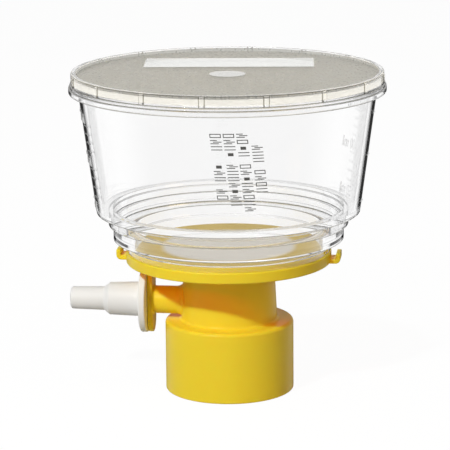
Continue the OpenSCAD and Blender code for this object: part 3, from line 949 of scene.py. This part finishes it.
spokeAngles = allRound(base["spokes"]) + turn / base["spokes"] / 2
baseFirst = shell(turned(baseOutline(base), allRound(base["around"]) + base["shift"]))
baseAdded = [[shell(armGrid(base), closed=False)], [shell(plateGrid(base), closed=False)],
             [shell(hookGrid(base, side), closed=False) for side in (-1, 1)],
             [shell(spokeGrid(base, angle), closed=False) for angle in spokeAngles]]
baseCut = [[shell(rodGrid(base), closed=False)]]
fused("base_moulding", baseFirst, baseAdded, baseCut, base["smoothTo"], coated["yellowPlastic"],
      "yellow_plastic", "base")
print("base made")


thread = {
    "crestD": 30.4, "rootD": 32.9, "pitch": 4.2, "turns": 1.5, "start": 3.6,
    "width": 2.3, "crestW": 0.92, "crestEdge": 0.2, "root": 0.05,
    "fade": 0.12,  # share of its length over which each end fades out
    "points": 150,
}


def threadGrid(t):
    # a blunt ridge carried along a helix inside the collar, fading out at both ends
    share = np.linspace(0, 1, t["points"])
    angles = turn * t["turns"] * share + np.pi / 2
    radial = np.stack([np.cos(angles), np.sin(angles), 0 * angles], -1)
    centres = radial * t["rootD"] / 2
    centres[:, 2] = t["start"] + t["pitch"] * t["turns"] * share
    foot, crest, depth = t["width"] / 2, t["crestW"] / 2, (t["rootD"] - t["crestD"]) / 2
    section = rounded([(-foot, t["root"], 0), (-crest, -depth, t["crestEdge"]),
                       (crest, -depth, t["crestEdge"]), (foot, t["root"], 0)], 3)
    scales = np.sin(np.clip(np.minimum(share, 1 - share) / t["fade"], 0, 1) * np.pi / 2)
    return carried(section, centres, np.array([[0, 0, 1]]).repeat(len(share), 0), radial, scales)


threadShell = shell(threadGrid(thread), closed=False)
piece("collar_thread", [threadShell], coated["yellowPlastic"], "yellow_plastic")
print("thread made")


# inside and outside are radii, low and high levels
cloth = {
    "inside": 0, "outside": 26.6, "low": 40.32, "high": 40.55, "edge": 0.08,
    "whiteR": 18, "fade": 1.2,  # where its white middle ends, and how softly
    # the outer ring's colour is the yellow support seen through the cloth, darkened to an olive as painted
    # shade
    "white": linear(246, 243, 237), "overYellowAndShade": linear(226, 196, 92), "yellowShare": 0.9,
    "through": (0.75, 0.7, 0.6, 1),
    "roughness": 0.6, "grain": 2600, "grainDetail": 3, "grainShare": 0.1, "bump": 0.3, "bumpBy": 0.00002,
}
gasket = {"inside": 12.5, "outside": 15.25, "low": 15.9, "high": 17.38, "edge": 0.3}


def washer(d, around=160):
    # a disc or ring with rounded edges
    inside, outside, low, high, edge = d["inside"], d["outside"], d["low"], d["high"], d["edge"]
    rim = [(outside, low, edge), (outside, high, edge)]
    if inside:
        rows = rim + [(inside, high, edge), (inside, low, edge)]
        return shell(turned(rounded(rows), allRound(around)))
    rows = [(0, low, 0)] + rim + [(0, high, 0)]
    return shell(turned(rounded(rows, closed=False), allRound(around)), closed=False)


def clothOverSupport(m):
    # thin cloth: it shows white over the drain field and the yellow support through its outer ring, darkened
    # there to an olive as painted shade, and lets some of the lamps' light through
    material = bpy.data.materials.new("filterMembrane")
    graph = Graph(material)
    x, y, z, spot = graph.place()
    ring = hypotenuse(x, y).ramp((m["whiteR"] - m["fade"]) * mm, (m["whiteR"] + m["fade"]) * mm)
    fine = graph.noise(spot, m["grain"], m["grainDetail"])
    yellow = fine * m["grainShare"] + ring * m["yellowShare"]
    surface = graph.node("ShaderNodeBsdfPrincipled", sockets={
        "Base Color": graph.mixed(yellow, m["white"], m["overYellowAndShade"]),
        "Roughness": m["roughness"] + fine * m["grainShare"],
        "Normal": graph.bump(fine, m["bump"], m["bumpBy"])})
    graph.finish(graph.seeThrough(surface, graph.ray("Shadow"), m["through"]))
    return material


piece("membrane_disc", [washer(cloth)], clothOverSupport(cloth), "filter_membrane", "membrane")
piece("gasket_ring", [washer(gasket)], coated["gasketRubber"], "gasket_rubber", "neck_gasket")
print("membrane and gasket made")


connector = {
    "armZ": 24.4, "start": 22.33, "discD": 18.2, "discT": 1.9, "bodyD": 9.6, "bodyEndD": 9.0, "bodyL": 10.8,
    "coneL": 1.5, "barrelD": 6.6, "tipD": 6.2, "barrelL": 9.4, "boreD": 3.4, "chamberD": 6.3,
    "chamberL": 10.4,
    "edge": 0.4, "mouthEdge": 0.1, "discEdge": 0.5, "discBend": 0.7, "tipRound": 0.7, "boreEdge": 0.3,
    "chamberEdge": 0.2,
    "around": 128,
}
# the gap is to the chamber's wall and the inset from its end
plug = {"length": 4.38, "gap": 0.06, "inset": 0.03, "edge": 0.4, "around": 64}


def connectorGrid(c):
    # out over the disc, along the body and the barrel, and back through the bore and the chamber
    start, bore, chamber, edge = c["start"], c["boreD"] / 2, c["chamberD"] / 2, c["edge"]
    discEnd, bodyEnd, chamberEnd = start + c["discT"], start + c["bodyL"], start + c["chamberL"]
    coneEnd = bodyEnd + c["coneL"]
    tip = coneEnd + c["barrelL"]
    outline = rounded([
        (chamber, start, c["mouthEdge"]), (c["discD"] / 2, start, edge),
        (c["discD"] / 2, discEnd, c["discEdge"]), (c["bodyD"] / 2, discEnd, c["discBend"]),
        (c["bodyEndD"] / 2, bodyEnd, c["discEdge"]), (c["barrelD"] / 2, coneEnd, edge),
        (c["tipD"] / 2, tip, c["tipRound"]), (bore, tip, edge), (bore, chamberEnd, c["boreEdge"]),
        (chamber, chamberEnd, c["chamberEdge"])][::-1])
    return onArm(turned(outline, allRound(c["around"])), c["armZ"])


def plugGrid(p, c):
    # a packed plug at the chamber's far end
    end, radius = c["start"] + c["chamberL"] - p["inset"], c["chamberD"] / 2 - p["gap"]
    start = end - p["length"]
    outline = rounded([(0, start, 0), (radius, start, p["edge"]), (radius, end, p["edge"]), (0, end, 0)],
                      closed=False)
    return onArm(turned(outline, allRound(p["around"])), c["armZ"])


connectorShell = shell(connectorGrid(connector))
plugShell = shell(plugGrid(plug, connector), closed=False)
piece("connector_body", [connectorShell], coated["whitePlastic"], "white_plastic", "hose_connector")
piece("cotton_wad", [plugShell], coated["cottonWool"], "cotton_wool", "cotton_plug")
print("connector made")
